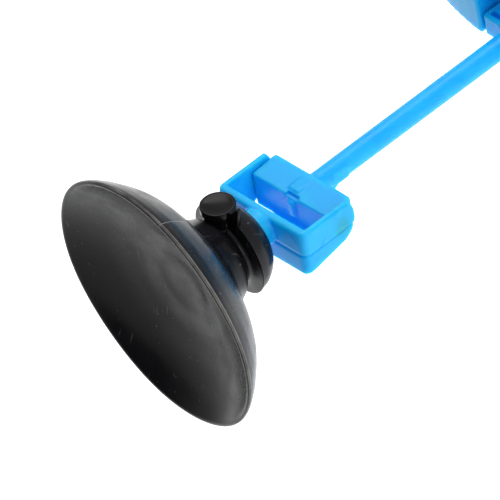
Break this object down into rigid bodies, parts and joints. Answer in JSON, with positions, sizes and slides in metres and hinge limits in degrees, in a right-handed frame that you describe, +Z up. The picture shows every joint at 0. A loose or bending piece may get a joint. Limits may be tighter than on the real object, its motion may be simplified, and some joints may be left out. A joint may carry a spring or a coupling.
{
  "type": "floating aquarium thermometer",
  "caption": "Glass tube thermometer upright in a round float, on a hinged arm with a snap-in bracket and a rubber suction cup.",
  "frame": {"origin": "centre of the suction cup's rim, in the plane of the tank wall", "axes": "+Y from the tank wall out along the arm, +Z up along the thermometer, +X across the bracket"},
  "size_m": [0.104, 0.1745, 0.1324],
  "materials": {
    "black_rubber": "moulded, satin",
    "grey_rubber": "moulded, satin",
    "blue_polypropylene": "injection moulded, slightly translucent",
    "clear_glass": "drawn tube, clear",
    "stem_glass": "drawn capillary, clear",
    "red_spirit": "dyed spirit",
    "card": "printed card",
    "spacer_plastic": "moulded, natural",
    "steel_shot": "tumbled balls",
    "plug_resin": "cast resin"
  },
  "bodies": {
    "cup": {"suction_cup": "black_rubber"},
    "bracket": {"bracket_tray": "blue_polypropylene"},
    "arm": {"arm_rod": "blue_polypropylene"},
    "float": {"float_shell": "blue_polypropylene", "float_lid": "blue_polypropylene", "hub_spider": "blue_polypropylene"},
    "grommet": {"hub_grommet": "grey_rubber"},
    "thermometer": {"glass_tube": "clear_glass", "capillary_tube": "stem_glass", "seal_bead": "stem_glass", "spirit_bulb": "red_spirit", "scale_card": "card", "lower_spacer": "spacer_plastic", "upper_spacer": "spacer_plastic", "ballast_shot": "steel_shot", "ballast_plug": "plug_resin", "cap_plug": "grey_rubber", "top_cap": "blue_polypropylene", "depth_ring": "grey_rubber", "base_bumper": "grey_rubber"},
    "spirit": {"spirit_column": "red_spirit", "spirit_meniscus": "red_spirit"}
  },
  "joints": [
    {"name": "bracket_swivel", "type": "hinge", "parent": "cup", "child": "bracket", "pos_m": [0, 0.0185, 0], "axis": [0, 1, 0], "continuous": true},
    {"name": "arm_tilt", "type": "hinge", "parent": "bracket", "child": "arm", "pos_m": [0, 0.03, -0.0008], "axis": [1, 0, 0], "range_deg": [0, 35]},
    {"name": "float_level", "type": "hinge", "parent": "arm", "child": "float", "pos_m": [0, 0.0744, 0], "axis": [1, 0, 0], "range_deg": [-35, 0]},
    {"name": "grommet_turn", "type": "hinge", "parent": "float", "child": "grommet", "pos_m": [0, 0.1225, 0], "axis": [0, 0, 1], "continuous": true},
    {"name": "thermometer_depth", "type": "slide", "parent": "grommet", "child": "thermometer", "axis": [0, 0, 1], "range_m": [-0.022, 0.022]},
    {"name": "spirit_rise", "type": "slide", "parent": "thermometer", "child": "spirit", "axis": [0, 0, 1], "range_m": [-0.0325, 0.0195], "deforming": ["spirit_column"]}
  ],
  "couplings": [
    {"joint": "float_level", "follows": "arm_tilt", "ratio": -1}
  ]
}
